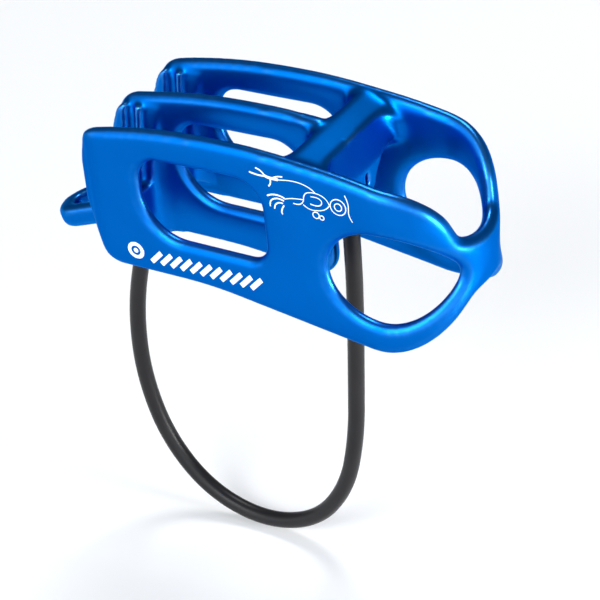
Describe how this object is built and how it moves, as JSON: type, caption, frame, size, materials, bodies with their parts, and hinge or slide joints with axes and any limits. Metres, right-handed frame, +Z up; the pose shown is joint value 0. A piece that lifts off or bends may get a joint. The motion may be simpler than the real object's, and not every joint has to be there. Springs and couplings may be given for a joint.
{
  "type": "belay device",
  "caption": "Tube-style belay and guide device: forged body with two rope slots, guide eye, release ring and a hanging cable loop.",
  "frame": {"origin": "centre of the guide eye, on the plane of symmetry", "axes": "+X along the body towards the eye end, so the nose and its release ring are at -X; +Y across the two rope slots; +Z up, towards the open top of the rope slots, with the cable loop hanging at -Z"},
  "size_m": [0.099, 0.0334, 0.104],
  "materials": {
    "anodised_aluminium": "hot-forged aluminium, bead-blasted and anodised satin blue",
    "sheath_plastic": "black extruded plastic sheath, satin",
    "steel_wire": "galvanised steel wire rope",
    "swaged_sleeve": "plain swaged sleeve"
  },
  "bodies": {
    "body": {"forged_body": "anodised_aluminium", "front_cable_end": "steel_wire", "rear_cable_end": "steel_wire", "front_end_stop": "swaged_sleeve", "rear_end_stop": "swaged_sleeve"},
    "cable_loop": {"cable_sheath": "sheath_plastic", "wire_rope": "steel_wire"}
  },
  "joints": [
    {"name": "loop_swing", "type": "hinge", "parent": "body", "child": "cable_loop", "pos_m": [-0.0625, 0, -0.0098], "axis": [0.9388, 0, 0.3444], "range_deg": [-28, 28], "stiffness_Nm_per_rad": 0.35}
  ]
}
